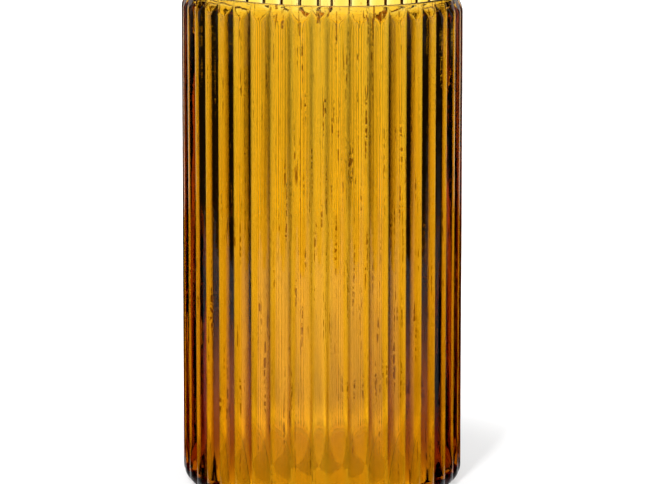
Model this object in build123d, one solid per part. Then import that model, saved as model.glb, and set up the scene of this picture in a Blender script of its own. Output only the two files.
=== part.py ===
"""Ribbed cylinder vase in mould-blown amber glass, in millimetres, +Z up.

The origin is the centre of the resting plane. The vase is one continuous body of blown glass. It is divided
here into its regions, each a closed solid that meets its neighbours face to face: floor, foot ring, heel,
ribbed wall, shoulder where the ribs draw in, and fire-polished rim.
"""
from build123d import *
import math
import os

# Driving dimensions
HEIGHT = 250.0
FOOT_CREST_RADIUS = 71.0
MOUTH_CREST_RADIUS = 69.4
BORE_RADIUS = 65.0

# Ribs: a two-part mould gives two equal halves, with one narrow rib on each seam
RIBS_PER_HALF = 20
SEAM_RIB_DEG = 6.0
SEAM_AZIMUTH_DEG = -91.2
RIB_DEG = (180.0 - SEAM_RIB_DEG) / RIBS_PER_HALF
RIB_DEPTH = 2.4

# Foot and floor
HEEL_RADIUS = 6.0
FOOT_RING_INNER_RADIUS = 57.0
FOOT_RING_TOP = 3.0
PUNT_HEIGHT = 2.0
FLOOR_CORE_RADIUS = 56.0
FLOOR_EDGE_RADIUS = 61.0
FLOOR_EDGE_TOP = 4.5
FLOOR_CENTRE_TOP = 6.5
INNER_HEEL_RADIUS = 4.0
HEEL_TOP = FLOOR_EDGE_TOP + INNER_HEEL_RADIUS

# Mouth: the ribs draw in over the shoulder almost to the top, and the low rim above it has a fully round lip
SHOULDER_START = 240.5
RIB_END = 248.8
RIM_START = 248.0
RIM_INSET = 0.25

# The prism that carries the ribs runs past both ends of the glass
OVERRUN = 2.0


def crest_radius(z):
    """Radius over the rib crests, which narrows evenly from the foot to the mouth."""
    return FOOT_CREST_RADIUS + (MOUTH_CREST_RADIUS - FOOT_CREST_RADIUS) * z / HEIGHT


def valley_azimuths():
    """Azimuths, in degrees, of the valleys between ribs, once round."""
    azimuths = []
    for half in range(2):
        first = SEAM_AZIMUTH_DEG + 180.0 * half + SEAM_RIB_DEG / 2
        azimuths += [first + RIB_DEG * rib for rib in range(RIBS_PER_HALF + 1)]
    return azimuths


def rim_radius():
    """Outside of the smooth rim, just inside the valleys of the ribs."""
    return crest_radius(RIB_END) - RIB_DEPTH - RIM_INSET


def lip_radius():
    """Radius of the lip's round, half of the rim's thickness."""
    return (rim_radius() - BORE_RADIUS) / 2


def polar(radius, azimuth_deg):
    """Point in plan at a radius and an azimuth."""
    azimuth = math.radians(azimuth_deg)
    return (radius * math.cos(azimuth), radius * math.sin(azimuth))


def rib_section(z):
    """Plan section through the ribs at height z: one round arc for each rib, from valley to valley."""
    valleys = valley_azimuths()
    crest = crest_radius(z)
    valley = crest - RIB_DEPTH
    arcs = []
    for start, end in zip(valleys, valleys[1:] + [valleys[0] + 360.0]):
        depth_share = min(1.0, (end - start) / RIB_DEG)
        middle = polar(valley + RIB_DEPTH * depth_share, (start + end) / 2)
        arcs.append(ThreePointArc(polar(valley, start), middle, polar(valley, end)))
    return Plane.XY.offset(z) * make_face(Wire(arcs))


def ribbed_prism():
    """Solid rod with the ribs on it, longer than the vase at both ends."""
    return loft([rib_section(-OVERRUN), rib_section(HEIGHT + OVERRUN)], ruled=True)


def turned(outline):
    """Solid of revolution about Z from closed edges drawn in the XZ plane."""
    return revolve(make_face(Plane.XZ * outline), axis=Axis.Z)


def band(bottom, top):
    """Disc that covers the vase between two heights."""
    disc = Cylinder(FOOT_CREST_RADIUS + OVERRUN, top - bottom, align=(Align.CENTER, Align.CENTER, Align.MIN))
    return Pos(0, 0, bottom) * disc


def outer_envelope():
    """Turned outside: round heel, straight side over the crests, drawn-in shoulder and rounded lip."""
    heel_centre = FOOT_CREST_RADIUS - HEEL_RADIUS
    bend = HEEL_RADIUS * math.sqrt(0.5)
    heel = ThreePointArc(
        (heel_centre, 0), (heel_centre + bend, HEEL_RADIUS - bend), (crest_radius(HEEL_RADIUS), HEEL_RADIUS)
    )
    side = Line((crest_radius(HEEL_RADIUS), HEEL_RADIUS), (crest_radius(SHOULDER_START), SHOULDER_START))
    turn = ((crest_radius(SHOULDER_START) + rim_radius()) / 2, (SHOULDER_START + RIB_END) / 2)
    shoulder = TangentArc((crest_radius(SHOULDER_START), SHOULDER_START), turn, tangent=side % 1)
    fade = TangentArc(turn, (rim_radius(), RIB_END), tangent=shoulder % 1)
    lip_base = HEIGHT - lip_radius()
    neck = Line((rim_radius(), RIB_END), (rim_radius(), lip_base))
    round_bend = lip_radius() * math.sqrt(0.5)
    lip_centre = rim_radius() - lip_radius()
    lip = ThreePointArc(
        (rim_radius(), lip_base), (lip_centre + round_bend, lip_base + round_bend), (lip_centre, HEIGHT)
    )
    top = Line((lip_centre, HEIGHT), (0, HEIGHT))
    axis = Line((0, HEIGHT), (0, 0))
    base = Line((0, 0), (heel_centre, 0))
    return turned(Curve() + [heel, side, shoulder, fade, neck, lip, top, axis, base])


def hollow():
    """Turned inside: domed floor, round inner heel, straight bore and rounded lip."""
    bend = INNER_HEEL_RADIUS * (1 - math.sqrt(0.5))
    floor = ThreePointArc(
        (-FLOOR_EDGE_RADIUS, FLOOR_EDGE_TOP), (0, FLOOR_CENTRE_TOP), (FLOOR_EDGE_RADIUS, FLOOR_EDGE_TOP)
    ).trim(0.5, 1)
    inner_heel = ThreePointArc(
        (FLOOR_EDGE_RADIUS, FLOOR_EDGE_TOP),
        (BORE_RADIUS - bend, FLOOR_EDGE_TOP + bend),
        (BORE_RADIUS, HEEL_TOP),
    )
    lip_base = HEIGHT - lip_radius()
    lip_top = BORE_RADIUS + lip_radius()
    round_bend = lip_radius() * (1 - math.sqrt(0.5))
    bore = Line((BORE_RADIUS, HEEL_TOP), (BORE_RADIUS, lip_base))
    lip = ThreePointArc(
        (BORE_RADIUS, lip_base), (BORE_RADIUS + round_bend, HEIGHT - round_bend), (lip_top, HEIGHT)
    )
    above = HEIGHT + OVERRUN
    riser = Line((lip_top, HEIGHT), (lip_top, above))
    lid = Line((lip_top, above), (0, above))
    axis = Line((0, above), (0, FLOOR_CENTRE_TOP))
    return turned(Curve() + [floor, inner_heel, bore, lip, riser, lid, axis])


def punt():
    """Shallow dome pushed up into the underside, inside the foot ring."""
    dome = ThreePointArc(
        (-FOOT_RING_INNER_RADIUS, 0), (0, PUNT_HEIGHT), (FOOT_RING_INNER_RADIUS, 0)
    ).trim(0.5, 1)
    below = Line((FOOT_RING_INNER_RADIUS, 0), (FOOT_RING_INNER_RADIUS, -OVERRUN))
    bottom = Line((FOOT_RING_INNER_RADIUS, -OVERRUN), (0, -OVERRUN))
    axis = Line((0, -OVERRUN), (0, PUNT_HEIGHT))
    return turned(Curve() + [dome, below, bottom, axis])


def glass():
    """The whole vase as one body of glass."""
    return (outer_envelope() & ribbed_prism()) - hollow() - punt()


def floor_core():
    """Rod that separates the floor from the foot ring and heel around it."""
    return Cylinder(FLOOR_CORE_RADIUS, HEEL_TOP, align=(Align.CENTER, Align.CENTER, Align.MIN))


def regions():
    """Node name to solid, from the foot up."""
    vase = glass()
    base = vase & band(0, HEEL_TOP)
    surround = base - floor_core()
    return {
        "floor": base & floor_core(),
        "foot_ring": surround & band(0, FOOT_RING_TOP),
        "heel": surround & band(FOOT_RING_TOP, HEEL_TOP),
        "ribbed_wall": vase & band(HEEL_TOP, SHOULDER_START),
        "rib_shoulder": vase & band(SHOULDER_START, RIM_START),
        "rim": vase & band(RIM_START, HEIGHT),
    }


os.makedirs("parts", exist_ok=True)
for node, shape in regions().items():
    export_step(shape.solid(), f"parts/{node}.step")
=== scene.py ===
"""Amber ribbed glass vase: one continuous body of glass on a pale studio floor. Metres, +Z up."""
import math
import bpy
import numpy as np
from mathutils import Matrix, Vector


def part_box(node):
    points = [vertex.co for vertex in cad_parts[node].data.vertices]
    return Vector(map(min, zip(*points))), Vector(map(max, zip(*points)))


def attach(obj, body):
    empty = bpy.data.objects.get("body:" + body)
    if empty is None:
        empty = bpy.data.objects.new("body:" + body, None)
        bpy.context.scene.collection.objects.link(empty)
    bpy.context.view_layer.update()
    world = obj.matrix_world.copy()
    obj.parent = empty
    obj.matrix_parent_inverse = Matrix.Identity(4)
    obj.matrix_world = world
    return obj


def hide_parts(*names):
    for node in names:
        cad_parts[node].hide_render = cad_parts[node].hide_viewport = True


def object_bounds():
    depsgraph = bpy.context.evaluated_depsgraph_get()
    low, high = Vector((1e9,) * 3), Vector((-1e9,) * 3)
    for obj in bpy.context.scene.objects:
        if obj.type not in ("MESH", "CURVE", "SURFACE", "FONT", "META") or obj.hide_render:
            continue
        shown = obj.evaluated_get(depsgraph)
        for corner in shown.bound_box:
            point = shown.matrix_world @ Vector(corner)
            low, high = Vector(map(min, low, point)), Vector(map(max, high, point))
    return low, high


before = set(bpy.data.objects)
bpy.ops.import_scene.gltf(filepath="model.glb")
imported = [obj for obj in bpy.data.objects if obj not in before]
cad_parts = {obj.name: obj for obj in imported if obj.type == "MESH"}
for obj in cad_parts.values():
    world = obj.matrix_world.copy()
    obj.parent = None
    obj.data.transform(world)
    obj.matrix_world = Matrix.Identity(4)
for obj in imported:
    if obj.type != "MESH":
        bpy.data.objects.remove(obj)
cad_low, cad_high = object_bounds()

# Levels of the glass, from the CAD regions
MM = 0.001
HEIGHT = cad_high[2]
HEEL_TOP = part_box("heel")[1][2]
SHOULDER_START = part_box("rib_shoulder")[0][2]

# Radii and rounds
FOOT_CREST_RADIUS = 71.0 * MM
MOUTH_CREST_RADIUS = 69.4 * MM
BORE_RADIUS = 65.0 * MM
HEEL_RADIUS = 6.0 * MM
FOOT_RING_INNER_RADIUS = 57.0 * MM
PUNT_HEIGHT = 2.0 * MM
FLOOR_EDGE_RADIUS = 61.0 * MM
FLOOR_EDGE_TOP = 4.5 * MM
FLOOR_CENTRE_TOP = 6.5 * MM
INNER_HEEL_RADIUS = 4.0 * MM
RIB_END = 248.8 * MM
RIM_INSET = 0.25 * MM
# A blend this wide rounds the edge where the ribs run out into the heel and the rim
RUN_OUT_BLEND = 0.5 * MM

# Ribs
RIBS_PER_HALF = 20
SEAM_RIB_DEG = 6.0
SEAM_AZIMUTH_DEG = -91.2
RIB_DEG = (180.0 - SEAM_RIB_DEG) / RIBS_PER_HALF
RIB_DEPTH = 2.4 * MM
STEPS_PER_RIB = 20

# Hand-blown irregularity
RIM_TILT_DROP = 2.6 * MM
RIM_TILT_START = 150.0 * MM
WOBBLE = 0.10 * MM
RIPPLE = 0.035 * MM
# The bore stands this much farther out behind the valleys than behind the crests
INNER_RIB = 0.5 * MM
INNER_WAVE = 0.08 * MM
# Noise for each: cells round the vase, height of a cell, and seed
WOBBLE_NOISE = (9, 70.0 * MM, 3)
BROAD_RIPPLE_NOISE = (84, 7.0 * MM, 5)
FINE_RIPPLE_NOISE = (126, 3.6 * MM, 8)
INNER_NOISE = (17, 22.0 * MM, 13)
BROAD_SHARE = 0.6
FINE_SHARE = 0.4
# Heights over which the irregularity rises from the heel and dies away at the mouth, outside and in the bore
OUTER_RISE = 20.0 * MM
OUTER_FADE = 12.0 * MM
INNER_FADE = 15.0 * MM

# Row spacing along the glass
OUTER_ROWS = 190
SHOULDER_ROWS = 16
LIP_ROWS = 12
INNER_ROWS = 60
ROUND_ROWS = 14
DISC_ROWS = 14

# Camera
CAMERA_DISTANCE = 18.0 * FOOT_CREST_RADIUS
CAMERA_HEIGHT = 410.6 * MM
CAMERA_PITCH_DEG = 12.79
CAMERA_SIDE = 0.1 * MM
LENS_MM = 145.3

# Glass colour: what a metre of it takes from red, green and blue
AMBER_ABSORPTION = (44.0, 114.0, 500.0)
ABSORPTION_SCALE = 520.0
GLASS_IOR = 1.5
# Faint warmer threads: features to the metre round and up, detail, span of noise, and the deepest tint
CORDS = (260.0, 14.0, 4.0)
CORD_SPAN = (0.35, 0.60)
CORD_COLOR = (0.99, 0.94, 0.86, 1.0)
CLEAR = (1.0, 1.0, 1.0, 1.0)

# Marks from the mould, as features to the metre round the vase and up it, and the span of noise over which
# they rise. Dashes are broken draw lines, dented and tinted dark with painted shade for the dark their steep
# creases would refract; gaps break them into stitches, and the ripple is a fine chill.
DASHES = (850.0, 26.0, 0.65, 0.70)
GAPS = (400.0, 420.0, 0.44, 0.52)
CHILL = (500.0, 650.0, 0.30, 0.75)
DASH_SHADE_COLOR = (0.16, 0.07, 0.03, 1.0)
DASH_DEPTH = 0.03 * MM
CHILL_DEPTH = 0.004 * MM

# Studio: three sheets of pale paper. The camera sees the first, the glass lets the second through, and the
# third shows only as a reflection off the glass.
PAPER_HALF_SIZE = 0.9
PAPER_ROUGHNESS = 0.9
TOOTH_SCALE = 900.0
TOOTH_STRENGTH = 0.03
TOOTH_DEPTH = 0.05 * MM
# How far each sheet lies below the foot
PAPER_DROP = 0.3 * MM
TABLE_DROP = 0.2 * MM
REFLECTION_DROP = 0.1 * MM
PAPER_SHADE = 0.30
# Painted glow of the camera's paper: emission near the vase and far out, and the distances over which one
# becomes the other
PAPER_GLOW_NEAR = 0.56
PAPER_GLOW_FAR = 1.0
PAPER_GLOW_START = 0.09
PAPER_GLOW_FULL = 0.19
TABLE_HALF_WIDTH = 0.50
TABLE_DEPTH = 0.60
TABLE_SHADE = 0.76
TABLE_GLOW = 0.26
# Painted shade on its flanks: colour near the vase and far out, and the distances over which one becomes the
# other
TABLE_EDGE_SHADE = (0.24, 0.11, 0.045, 1.0)
TABLE_FAR_SHADE = (0.006, 0.004, 0.003, 1.0)
FLANK_FULL = 0.14
FLANK_END = 0.46
# Painted glow on the paper under the vase and close round it, standing in for what comes down through the
# glass
FOOT_GLOW = 0.62
FOOT_GLOW_FULL = 0.090
FOOT_GLOW_END = 0.150
# Azimuth from straight behind the vase over which the table's colour and glow fall into painted shade
TABLE_BRIGHT_DEG = 46.0
TABLE_DARK_DEG = 60.0
# Painted tone of the paper that shows by reflection off the glass, which starts some way out from the foot
REFLECTED_SHADE = 0.24
REFLECTED_START = 0.10
REFLECTED_FULL = 0.30
# Painted glow on the reflected paper close round the foot, which the heel mirrors
HEEL_GLOW = 0.7
HEEL_GLOW_FULL = 0.076
HEEL_GLOW_END = 0.092
# Panels that the glass sees: azimuth they stand at, clockwise from +Y, half width, lowest and highest
# elevation, all in degrees, and brightness. The first is the backdrop, and the others light the glass
# for someone who walks round to its side or its back.
PANELS = (
    (0.0, 41.0, -22.0, 30.0, 1.60),
    (-90.0, 22.0, -7.5, 20.0, 1.0),
    (90.0, 22.0, -7.5, 20.0, 1.0),
    (180.0, 22.0, -7.5, 20.0, 0.9),
    (135.0, 18.0, -19.5, -10.5, 0.9),
)
PANEL_EDGE_DEG = 3.0
DARK_BRIGHTNESS = 0.010
# Share of the studio's light that reflections off the glass show, next to what comes through it
REFLECTION_SHARE = 0.32
CEILING_START_DEG = 38.0
CEILING_FULL_DEG = 48.0
CEILING_BRIGHTNESS = 1.9
# Key lamp, high in front and a little to the left, which throws the vase's shadow back and to the right
KEY_PLACE = (-0.42, -1.23, 1.45)
KEY_SIZE = 0.16
KEY_POWER = 36.0


def smoothstep(x):
    """Smooth rise from 0 to 1 as x goes from 0 to 1."""
    x = np.clip(x, 0.0, 1.0)
    return x * x * (3.0 - 2.0 * x)


def soft_minimum(a, b, blend):
    """The lesser of two radii, with the change from one to the other rounded off."""
    share = np.clip(0.5 + 0.5 * (b - a) / blend, 0.0, 1.0)
    return b + (a - b) * share - blend * share * (1.0 - share)


def crest_radius(z):
    """Radius over the rib crests, which narrows evenly from the foot to the mouth."""
    return FOOT_CREST_RADIUS + (MOUTH_CREST_RADIUS - FOOT_CREST_RADIUS) * z / HEIGHT


def rim_radius():
    """Outside of the smooth rim, just inside the valleys of the ribs."""
    return crest_radius(RIB_END) - RIB_DEPTH - RIM_INSET


def valley_azimuths():
    """Azimuths, in degrees, of the valleys between ribs, once round and back to the first."""
    azimuths = []
    for half in range(2):
        first = SEAM_AZIMUTH_DEG + 180.0 * half + SEAM_RIB_DEG / 2
        azimuths += [first + RIB_DEG * rib for rib in range(RIBS_PER_HALF + 1)]
    return azimuths + [azimuths[0] + 360.0]


def rib_samples():
    """Azimuth in radians, and depth below the full crest from 0 to 1, of each mesh column.

    Each rib is a round arc, with its columns a little closer together towards the valleys.
    """
    azimuths, depths = [], []
    valleys = valley_azimuths()
    for start, end in zip(valleys, valleys[1:]):
        share = min(1.0, (end - start) / RIB_DEG)
        half_width = math.radians(end - start) / 2 * (FOOT_CREST_RADIUS - RIB_DEPTH)
        rise = RIB_DEPTH * share
        arc = (half_width ** 2 + rise ** 2) / (2.0 * rise)
        for step in range(STEPS_PER_RIB):
            across = -math.cos(math.pi * step / STEPS_PER_RIB)
            height = math.sqrt(arc ** 2 - (half_width * across) ** 2) - (arc - rise)
            azimuths.append(math.radians(start + (end - start) * (across + 1.0) / 2))
            depths.append(1.0 - height / RIB_DEPTH)
    return np.array(azimuths), np.array(depths)


def periodic_noise(azimuth, height, noise):
    """Smooth noise from -1 to 1 round the wall at one height, which closes on itself."""
    cells_round, cell_height, seed = noise
    z = np.full_like(azimuth, height)
    cells_high = int(math.ceil(HEIGHT / cell_height)) + 2
    grid = np.random.default_rng(seed).uniform(-1.0, 1.0, (cells_high + 1, cells_round))
    u = (azimuth / (2.0 * math.pi) * cells_round) % cells_round
    v = np.clip(z / cell_height, 0.0, cells_high - 1)
    column, row = np.floor(u).astype(int), np.floor(v).astype(int)
    s, t = smoothstep(u - column), smoothstep(v - row)
    left, right = column % cells_round, (column + 1) % cells_round
    low = grid[row, left] * (1 - s) + grid[row, right] * s
    high = grid[row + 1, left] * (1 - s) + grid[row + 1, right] * s
    return low * (1 - t) + high * t


def outer_profile():
    """(radius, height) of the turned outside, from the foot ring to the lip."""
    heel_centre = FOOT_CREST_RADIUS - HEEL_RADIUS
    rows = []
    for step in range(4):
        rows.append((FOOT_RING_INNER_RADIUS + (heel_centre - FOOT_RING_INNER_RADIUS) * step / 4, 0.0))
    for step in range(ROUND_ROWS):
        turn = 0.5 * math.pi * step / ROUND_ROWS
        rows.append((heel_centre + HEEL_RADIUS * math.sin(turn), HEEL_RADIUS * (1.0 - math.cos(turn))))
    for step in range(OUTER_ROWS):
        z = HEEL_RADIUS + (SHOULDER_START - HEEL_RADIUS) * step / OUTER_ROWS
        rows.append((crest_radius(z), z))
    for step in range(SHOULDER_ROWS):
        share = step / SHOULDER_ROWS
        z = SHOULDER_START + (RIB_END - SHOULDER_START) * share
        fade = share * share * (3.0 - 2.0 * share)
        rows.append((crest_radius(z) + (rim_radius() - crest_radius(z)) * fade, z))
    lip = (rim_radius() - BORE_RADIUS) / 2
    rows.append((rim_radius(), RIB_END))
    for step in range(LIP_ROWS + 1):
        turn = math.pi * step / LIP_ROWS
        radius = BORE_RADIUS + lip + lip * math.cos(turn)
        rows.append((radius, HEIGHT - lip + lip * math.sin(turn)))
    return rows


def inner_profile():
    """(radius, height) of the bore, inner heel and floor, from below the lip to the floor's edge."""
    lip = (rim_radius() - BORE_RADIUS) / 2
    rows = []
    for step in range(1, INNER_ROWS + 1):
        rows.append((BORE_RADIUS, HEIGHT - lip + (HEEL_TOP - HEIGHT + lip) * step / INNER_ROWS))
    for step in range(1, ROUND_ROWS + 1):
        turn = 0.5 * math.pi * step / ROUND_ROWS
        radius = FLOOR_EDGE_RADIUS + INNER_HEEL_RADIUS * math.cos(turn)
        rows.append((radius, HEEL_TOP - INNER_HEEL_RADIUS * math.sin(turn)))
    return rows


def dome_profile(edge_radius, edge_height, centre_height):
    """(radius, height) over a shallow dome, from inside its edge to just short of the axis."""
    rise = centre_height - edge_height
    curve = (edge_radius ** 2 + rise ** 2) / (2.0 * rise)
    rows = []
    for step in range(1, DISC_ROWS):
        radius = edge_radius * (1.0 - step / DISC_ROWS)
        rows.append((radius, centre_height - curve + math.sqrt(curve ** 2 - radius ** 2)))
    return rows


def tilt_rim(x, z):
    """Lowers the mouth a little on one side, as the glass settled when it was finished by hand."""
    share = smoothstep((z - RIM_TILT_START) / (HEIGHT - RIM_TILT_START))
    return z - share * RIM_TILT_DROP * 0.5 * (1.0 + x / FOOT_CREST_RADIUS)


def glass_rows():
    """Vertex positions, one array of columns for each row of the closed surface."""
    azimuth, depth = rib_samples()
    rows = []
    for radius, z in reversed(dome_profile(FOOT_RING_INNER_RADIUS, 0.0, PUNT_HEIGHT)):
        rows.append((np.full_like(azimuth, radius), z))
    for radius, z in outer_profile():
        ribbed = crest_radius(z) - RIB_DEPTH * depth
        surface = soft_minimum(np.full_like(azimuth, radius), ribbed, RUN_OUT_BLEND)
        body = smoothstep((z - HEEL_RADIUS) / OUTER_RISE) * smoothstep((RIB_END - z) / OUTER_FADE)
        wobble = periodic_noise(azimuth, z, WOBBLE_NOISE) * WOBBLE
        broad = periodic_noise(azimuth, z, BROAD_RIPPLE_NOISE)
        fine = periodic_noise(azimuth, z, FINE_RIPPLE_NOISE)
        rows.append((surface + body * (wobble + RIPPLE * (BROAD_SHARE * broad + FINE_SHARE * fine)), z))
    for radius, z in inner_profile():
        body = smoothstep((HEIGHT - z) / INNER_FADE) * smoothstep((z - HEEL_TOP) / INNER_FADE)
        wave = periodic_noise(azimuth, z, INNER_NOISE) * INNER_WAVE
        rows.append((radius + body * (INNER_RIB * (depth - 0.5) - wave), z))
    for radius, z in dome_profile(FLOOR_EDGE_RADIUS, FLOOR_EDGE_TOP, FLOOR_CENTRE_TOP):
        rows.append((np.full_like(azimuth, radius), z))
    points = []
    for radius, z in rows:
        x = radius * np.cos(azimuth)
        y = radius * np.sin(azimuth)
        points.append(np.stack([x, y, tilt_rim(x, np.full_like(x, z))], axis=1))
    return points


def make_glass():
    """The whole vase as one closed mesh, with a fan of faces at the middle of the punt and the floor."""
    rows = glass_rows()
    columns = len(rows[0])
    points = np.concatenate(rows + [np.array([[0.0, 0.0, PUNT_HEIGHT], [0.0, 0.0, FLOOR_CENTRE_TOP]])])
    punt_pole, floor_pole = len(points) - 2, len(points) - 1
    faces = []
    for row in range(len(rows) - 1):
        for column in range(columns):
            after = (column + 1) % columns
            here, there = row * columns, (row + 1) * columns
            faces.append((here + column, here + after, there + after, there + column))
    last = (len(rows) - 1) * columns
    for column in range(columns):
        after = (column + 1) % columns
        faces.append((punt_pole, after, column))
        faces.append((floor_pole, last + column, last + after))
    mesh = bpy.data.meshes.new("vase_glass")
    mesh.from_pydata(points.tolist(), [], faces)
    mesh.polygons.foreach_set("use_smooth", [True] * len(mesh.polygons))
    mesh.update()
    vase = bpy.data.objects.new("vase_glass", mesh)
    bpy.context.scene.collection.objects.link(vase)
    return vase


def stretched_noise(nodes, links, across, along, detail):
    """Noise with features this many to the metre round the vase and up it."""
    place = nodes.new("ShaderNodeTexCoord")
    stretch = nodes.new("ShaderNodeMapping")
    stretch.inputs["Scale"].default_value = (across, across, along)
    links.new(place.outputs["Object"], stretch.inputs["Vector"])
    noise = nodes.new("ShaderNodeTexNoise")
    noise.inputs["Scale"].default_value = 1.0
    noise.inputs["Detail"].default_value = detail
    links.new(stretch.outputs["Vector"], noise.inputs["Vector"])
    return noise.outputs["Fac"]


def mark_mask(nodes, links, mark, detail):
    """Where one kind of mark lies, from 0 to 1."""
    across, along, low, high = mark
    return soft_step(nodes, links, stretched_noise(nodes, links, across, along, detail), low, high)


def dent(nodes, links, height, depth, normal=None):
    """Normal socket for marks of this depth, laid over those before them."""
    bump = nodes.new("ShaderNodeBump")
    bump.inputs["Strength"].default_value = 1.0
    bump.inputs["Distance"].default_value = depth
    links.new(height, bump.inputs["Height"])
    if normal is not None:
        links.new(normal, bump.inputs["Normal"])
    return bump.outputs["Normal"]


def cord_tint(nodes, links):
    """Faint warmer threads drawn up through the glass, as a colour socket."""
    tint = nodes.new("ShaderNodeValToRGB")
    for stop, position, color in zip(tint.color_ramp.elements, CORD_SPAN, (CORD_COLOR, CLEAR)):
        stop.position = position
        stop.color = color
    links.new(stretched_noise(nodes, links, *CORDS), tint.inputs["Fac"])
    return tint.outputs["Color"]


def amber_glass():
    """Clear fire-polished glass, coloured through its depth, with faint cords, chill marks, and dashes tinted
    dark with painted shade.
    """
    material = bpy.data.materials.new("amber_glass")
    material.use_nodes = True
    nodes, links = material.node_tree.nodes, material.node_tree.links
    shader = nodes["Principled BSDF"]
    shader.inputs["Transmission Weight"].default_value = 1.0
    shader.inputs["IOR"].default_value = GLASS_IOR
    shader.inputs["Roughness"].default_value = 0.0

    absorb = nodes.new("ShaderNodeVolumeAbsorption")
    absorb.inputs["Density"].default_value = ABSORPTION_SCALE
    absorb.inputs["Color"].default_value = (*[1.0 - a / ABSORPTION_SCALE for a in AMBER_ABSORPTION], 1.0)
    links.new(absorb.outputs["Volume"], nodes["Material Output"].inputs["Volume"])

    # Dashes: dented into the glass and tinted dark with painted shade
    dashes = math_node(nodes, links, "MULTIPLY", mark_mask(nodes, links, DASHES, 1.0),
                       mark_mask(nodes, links, GAPS, 2.0))
    cord_tint_and_painted_dashes = nodes.new("ShaderNodeMixRGB")
    links.new(dashes, cord_tint_and_painted_dashes.inputs["Fac"])
    links.new(cord_tint(nodes, links), cord_tint_and_painted_dashes.inputs["Color1"])
    cord_tint_and_painted_dashes.inputs["Color2"].default_value = DASH_SHADE_COLOR
    links.new(cord_tint_and_painted_dashes.outputs["Color"], shader.inputs["Base Color"])
    normal = dent(nodes, links, mark_mask(nodes, links, CHILL, 2.0), CHILL_DEPTH)
    links.new(dent(nodes, links, dashes, DASH_DEPTH, normal), shader.inputs["Normal"])
    return material


def math_node(nodes, links, operation, *values):
    """Math node fed by sockets or numbers, returned as its output socket."""
    node = nodes.new("ShaderNodeMath")
    node.operation = operation
    for index, value in enumerate(values):
        if isinstance(value, (int, float)):
            node.inputs[index].default_value = value
        else:
            links.new(value, node.inputs[index])
    return node.outputs[0]


def soft_step(nodes, links, value, dark_at, bright_at):
    """Smooth change from 0 to 1 as a socket goes from one value to the other."""
    node = nodes.new("ShaderNodeMapRange")
    node.interpolation_type = "SMOOTHSTEP"
    node.inputs["From Min"].default_value = dark_at
    node.inputs["From Max"].default_value = bright_at
    links.new(value, node.inputs["Value"])
    return node.outputs["Result"]


def new_paper(name):
    """Matt material with a barely visible tooth, and its shader."""
    material = bpy.data.materials.new(name)
    material.use_nodes = True
    nodes, links = material.node_tree.nodes, material.node_tree.links
    shader = nodes["Principled BSDF"]
    shader.inputs["Roughness"].default_value = PAPER_ROUGHNESS
    shader.inputs["Specular IOR Level"].default_value = 0.0
    tooth = nodes.new("ShaderNodeTexNoise")
    tooth.inputs["Scale"].default_value = TOOTH_SCALE
    bump = nodes.new("ShaderNodeBump")
    bump.inputs["Strength"].default_value = TOOTH_STRENGTH
    bump.inputs["Distance"].default_value = TOOTH_DEPTH
    links.new(tooth.outputs["Fac"], bump.inputs["Height"])
    links.new(bump.outputs["Normal"], shader.inputs["Normal"])
    return material, shader


def object_place(nodes, links):
    """X, Y and Z sockets of the place on the object."""
    place = nodes.new("ShaderNodeTexCoord")
    split = nodes.new("ShaderNodeSeparateXYZ")
    links.new(place.outputs["Object"], split.inputs[0])
    return tuple(split.outputs)


def level_length(nodes, links, x, y):
    """Length of a vector's level part."""
    x_squared = math_node(nodes, links, "MULTIPLY", x, x)
    y_squared = math_node(nodes, links, "MULTIPLY", y, y)
    return math_node(nodes, links, "SQRT", math_node(nodes, links, "ADD", x_squared, y_squared))


def lit_and_glowing_paper():
    """Pale paper that shows shadows near the vase, with a painted glow that grows brighter farther out."""
    material, shader = new_paper("studio_paper")
    nodes, links = material.node_tree.nodes, material.node_tree.links
    shader.inputs["Base Color"].default_value = (PAPER_SHADE, PAPER_SHADE, PAPER_SHADE, 1.0)
    shader.inputs["Emission Color"].default_value = (1.0, 1.0, 1.0, 1.0)
    x, y, _ = object_place(nodes, links)
    out = level_length(nodes, links, x, y)
    # Painted glow: the paper's emission grows from its near to its far strength away from the vase
    glow = soft_step(nodes, links, out, PAPER_GLOW_START, PAPER_GLOW_FULL)
    gain = PAPER_GLOW_FAR - PAPER_GLOW_NEAR
    strength = math_node(nodes, links, "MULTIPLY_ADD", glow, gain, PAPER_GLOW_NEAR)
    links.new(strength, shader.inputs["Emission Strength"])
    return material


def sector(nodes, links, forward):
    """1 in the sector of the table that lies one way from the vase (+1 behind, -1 in front), else 0."""
    x, y, _ = object_place(nodes, links)
    facing = math_node(nodes, links, "DIVIDE", math_node(nodes, links, "MULTIPLY", y, forward),
                       level_length(nodes, links, x, y))
    return soft_step(nodes, links, facing, math.cos(math.radians(TABLE_DARK_DEG)),
                     math.cos(math.radians(TABLE_BRIGHT_DEG)))


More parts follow.
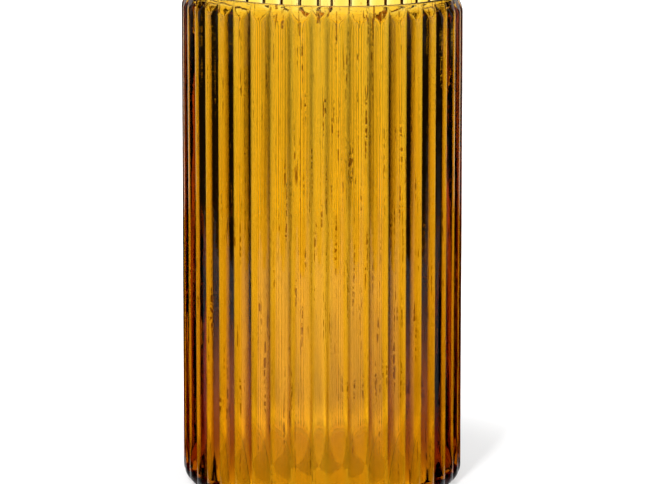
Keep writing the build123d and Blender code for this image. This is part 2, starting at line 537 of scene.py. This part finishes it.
def table_paper():
    """Paper seen through the glass, painted bright and glowing behind and in front, and in warm painted shade
    at the sides.

    The painted shade darkens farther out, and a painted glow lights the paper close round the foot.
    """
    material, shader = new_paper("studio_table")
    nodes, links = material.node_tree.nodes, material.node_tree.links
    bright = math_node(nodes, links, "MAXIMUM", sector(nodes, links, 1.0), sector(nodes, links, -1.0))
    x, y, _ = object_place(nodes, links)
    out = level_length(nodes, links, x, y)
    # Painted shade: the flank colour fades from warm shade near the vase to near black far out, and the
    # sectors behind and in front are painted bright
    painted_flank_shade = nodes.new("ShaderNodeValToRGB")
    painted_flank_shade.color_ramp.elements[0].color = TABLE_FAR_SHADE
    painted_flank_shade.color_ramp.elements[1].color = TABLE_EDGE_SHADE
    links.new(soft_step(nodes, links, out, FLANK_END, FLANK_FULL), painted_flank_shade.inputs["Fac"])
    shade = nodes.new("ShaderNodeMixRGB")
    links.new(bright, shade.inputs["Fac"])
    links.new(painted_flank_shade.outputs["Color"], shade.inputs["Color1"])
    shade.inputs["Color2"].default_value = (TABLE_SHADE, TABLE_SHADE, TABLE_SHADE, 1.0)
    links.new(shade.outputs["Color"], shader.inputs["Base Color"])
    # Painted glow: a little over the bright sectors and more close round the foot
    foot = soft_step(nodes, links, out, FOOT_GLOW_END, FOOT_GLOW_FULL)
    glow = math_node(nodes, links, "MULTIPLY", bright, TABLE_GLOW)
    glow = math_node(nodes, links, "MULTIPLY_ADD", foot, FOOT_GLOW, glow)
    shader.inputs["Emission Color"].default_value = (1.0, 1.0, 1.0, 1.0)
    links.new(glow, shader.inputs["Emission Strength"])
    return material


def reflected_paper():
    """Paper that shows by reflection off the glass, painted: a glowing ring at the foot, then only the part
    in front.
    """
    material, shader = new_paper("studio_reflection")
    nodes, links = material.node_tree.nodes, material.node_tree.links
    x, y, _ = object_place(nodes, links)
    out = level_length(nodes, links, x, y)
    # Painted reflection: the sheet's tone rises outward and is kept only in front
    outward = soft_step(nodes, links, out, REFLECTED_START, REFLECTED_FULL)
    shade = math_node(nodes, links, "MULTIPLY", outward, sector(nodes, links, -1.0))
    shade = math_node(nodes, links, "MULTIPLY", shade, REFLECTED_SHADE)
    links.new(shade, shader.inputs["Base Color"])
    # Painted glow in a ring round the foot, which the heel mirrors
    foot = soft_step(nodes, links, out, HEEL_GLOW_END, HEEL_GLOW_FULL)
    shader.inputs["Emission Color"].default_value = (1.0, 1.0, 1.0, 1.0)
    links.new(math_node(nodes, links, "MULTIPLY", foot, HEEL_GLOW), shader.inputs["Emission Strength"])
    return material


def make_sheet(name, half_width, half_depth, drop, material):
    """Flat sheet under the vase, a hair below its foot."""
    corners = [(-half_width, -half_depth), (half_width, -half_depth), (half_width, half_depth),
               (-half_width, half_depth)]
    mesh = bpy.data.meshes.new(name)
    mesh.from_pydata([(x, y, -drop) for x, y in corners], [], [(0, 1, 2, 3)])
    mesh.materials.append(material)
    sheet = bpy.data.objects.new(name, mesh)
    bpy.context.scene.collection.objects.link(sheet)
    return sheet


def make_floor():
    """Paper floor: one sheet shows to the camera, one through the glass, and one by reflection off it."""
    paper = make_sheet("studio_paper", PAPER_HALF_SIZE, PAPER_HALF_SIZE, PAPER_DROP, lit_and_glowing_paper())
    paper.visible_transmission = False
    paper.visible_glossy = False
    table = make_sheet("studio_table", TABLE_HALF_WIDTH, TABLE_DEPTH, TABLE_DROP, table_paper())
    table.visible_glossy = False
    mirror = make_sheet(
        "studio_reflection", TABLE_HALF_WIDTH, TABLE_DEPTH, REFLECTION_DROP, reflected_paper()
    )
    mirror.visible_transmission = False
    for sheet in (table, mirror):
        sheet.visible_camera = False
        sheet.visible_shadow = False
        sheet.visible_diffuse = False


def panel_light(nodes, links, direction, panel):
    """Brightness of one soft-edged panel in a direction."""
    azimuth, half_width, lowest, highest, brightness = panel
    x, y, z = direction
    edge = PANEL_EDGE_DEG / 2
    level = level_length(nodes, links, x, y)
    along_x = math_node(nodes, links, "MULTIPLY", x, math.sin(math.radians(azimuth)))
    along_y = math_node(nodes, links, "MULTIPLY", y, math.cos(math.radians(azimuth)))
    facing = math_node(nodes, links, "DIVIDE", math_node(nodes, links, "ADD", along_x, along_y), level)
    across = soft_step(nodes, links, facing, math.cos(math.radians(half_width + edge)),
                       math.cos(math.radians(half_width - edge)))
    bottom = soft_step(nodes, links, z, math.sin(math.radians(lowest - edge)),
                       math.sin(math.radians(lowest + edge)))
    top = soft_step(nodes, links, z, math.sin(math.radians(highest + edge)),
                    math.sin(math.radians(highest - edge)))
    inside = math_node(nodes, links, "MULTIPLY", across, math_node(nodes, links, "MULTIPLY", bottom, top))
    return math_node(nodes, links, "MULTIPLY", inside, brightness)


def make_world():
    """White background to the camera; to the glass, a dark studio with a few bright panels.

    Reflections off the glass show only a share of its light.
    """
    world = bpy.data.worlds.new("studio")
    bpy.context.scene.world = world
    world.use_nodes = True
    nodes, links = world.node_tree.nodes, world.node_tree.links
    nodes.clear()
    place = nodes.new("ShaderNodeTexCoord")
    split = nodes.new("ShaderNodeSeparateXYZ")
    links.new(place.outputs["Generated"], split.inputs[0])
    direction = tuple(split.outputs)
    level = DARK_BRIGHTNESS
    for panel in PANELS:
        level = math_node(nodes, links, "MAXIMUM", level, panel_light(nodes, links, direction, panel))
    ceiling = soft_step(nodes, links, direction[2], math.sin(math.radians(CEILING_START_DEG)),
                        math.sin(math.radians(CEILING_FULL_DEG)))
    ceiling = math_node(nodes, links, "MULTIPLY", ceiling, CEILING_BRIGHTNESS)
    level = math_node(nodes, links, "MAXIMUM", level, ceiling)
    seen = nodes.new("ShaderNodeLightPath")
    glossy, through = seen.outputs["Is Glossy Ray"], seen.outputs["Is Transmission Ray"]
    # Rays sent through smooth glass count as glossy too, so they are taken out
    reflected = math_node(nodes, links, "MAXIMUM", math_node(nodes, links, "SUBTRACT", glossy, through), 0.0)
    dimming = math_node(nodes, links, "MULTIPLY_ADD", reflected, REFLECTION_SHARE - 1.0, 1.0)
    level = math_node(nodes, links, "MULTIPLY", level, dimming)
    strength = math_node(nodes, links, "MAXIMUM", level, seen.outputs["Is Camera Ray"])
    background = nodes.new("ShaderNodeBackground")
    background.inputs["Color"].default_value = (1.0, 1.0, 1.0, 1.0)
    links.new(strength, background.inputs["Strength"])
    output = nodes.new("ShaderNodeOutputWorld")
    links.new(background.outputs["Background"], output.inputs["Surface"])


def area_light(name, place, size, power):
    """Square lamp aimed at the middle of the vase, and not seen through the glass or in it."""
    data = bpy.data.lights.new(name, "AREA")
    data.shape = "SQUARE"
    data.size = size
    data.energy = power
    lamp = bpy.data.objects.new(name, data)
    lamp.location = place
    aim = Vector((0.0, 0.0, HEIGHT / 2)) - Vector(place)
    lamp.rotation_euler = aim.to_track_quat("-Z", "Y").to_euler()
    lamp.visible_transmission = False
    lamp.visible_glossy = False
    bpy.context.scene.collection.objects.link(lamp)


def make_camera():
    """Long lens at the photograph's viewing angle."""
    data = bpy.data.cameras.new("camera")
    data.lens = LENS_MM
    data.clip_end = 20.0
    camera = bpy.data.objects.new("camera", data)
    camera.location = (CAMERA_SIDE, -CAMERA_DISTANCE, CAMERA_HEIGHT)
    camera.rotation_euler = (math.radians(90.0 - CAMERA_PITCH_DEG), 0.0, 0.0)
    bpy.context.scene.collection.objects.link(camera)
    bpy.context.scene.camera = camera


vase = make_glass()
vase.data.materials.append(amber_glass())
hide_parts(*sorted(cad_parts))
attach(vase, "root")

make_floor()
make_world()
area_light("key_lamp", KEY_PLACE, KEY_SIZE, KEY_POWER)
make_camera()
bpy.context.scene.view_settings.view_transform = "Standard"
